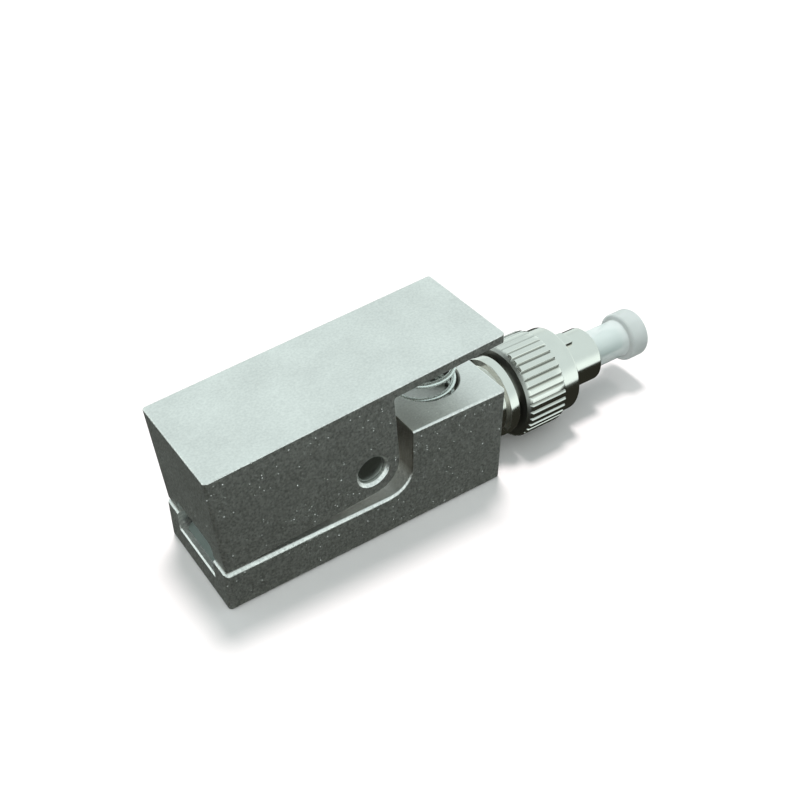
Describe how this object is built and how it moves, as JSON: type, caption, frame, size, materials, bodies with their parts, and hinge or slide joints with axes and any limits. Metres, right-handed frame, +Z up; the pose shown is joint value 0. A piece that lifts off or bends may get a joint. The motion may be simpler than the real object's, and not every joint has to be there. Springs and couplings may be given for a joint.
{
  "type": "bare fibre adapter",
  "caption": "Hand-held clamp adapter: a sprung lever grips a bare optical fibre on a grooved base and a screw-on plug with a ceramic ferrule ends it, under a translucent dust cap.",
  "frame": {"origin": "centre of the base's underside", "axes": "+X along the fibre from the rear mouth to the plug, +Y towards the far side in the picture, +Z up"},
  "size_m": [0.0552, 0.012, 0.0184],
  "materials": {
    "anodised": "bead-blasted and anodised, satin",
    "nickel": "polished nickel plate",
    "steel": "ground steel",
    "spring_steel": "drawn wire",
    "pad_rubber": "matte",
    "ceramic_white": "polished",
    "slip_plastic": "smooth",
    "cap_plastic": "translucent, moulded"
  },
  "bodies": {
    "base": {"base": "anodised", "groove_block": "steel", "block_screws": "steel", "body_screw": "steel", "guide_tube": "steel", "connector_body": "nickel", "barrel": "nickel", "lever_spring": "spring_steel", "ferrule_spring": "spring_steel"},
    "lever": {"lever": "anodised", "pressure_pad": "pad_rubber", "pivot_pin": "steel"},
    "nut_ring": {"slip_ring": "slip_plastic"},
    "nut": {"coupling_nut": "nickel"},
    "ferrule": {"ferrule": "ceramic_white", "ferrule_holder": "nickel"},
    "cap": {"dust_cap": "cap_plastic"}
  },
  "joints": [
    {"name": "lever_press", "type": "hinge", "parent": "base", "child": "lever", "pos_m": [0.0001, 0, 0.0089], "axis": [0, 1, 0], "range_deg": [0, 18], "stiffness_Nm_per_rad": 0.1, "springref_deg": -17.19, "deforming": ["lever_spring"]},
    {"name": "nut_slide", "type": "slide", "parent": "base", "child": "nut_ring", "axis": [1, 0, 0], "range_m": [-0.0005, 0.0011]},
    {"name": "nut_spin", "type": "hinge", "parent": "nut_ring", "child": "nut", "pos_m": [0.0225, 0, 0.00525], "axis": [1, 0, 0], "continuous": true},
    {"name": "ferrule_press", "type": "slide", "parent": "base", "child": "ferrule", "axis": [1, 0, 0], "range_m": [-0.001, 0], "stiffness_N_per_m": 4000, "springref_m": 0.0005, "deforming": ["ferrule_spring"]},
    {"name": "cap_pull", "type": "slide", "parent": "ferrule", "child": "cap", "axis": [1, 0, 0], "range_m": [0, 0.008]}
  ]
}
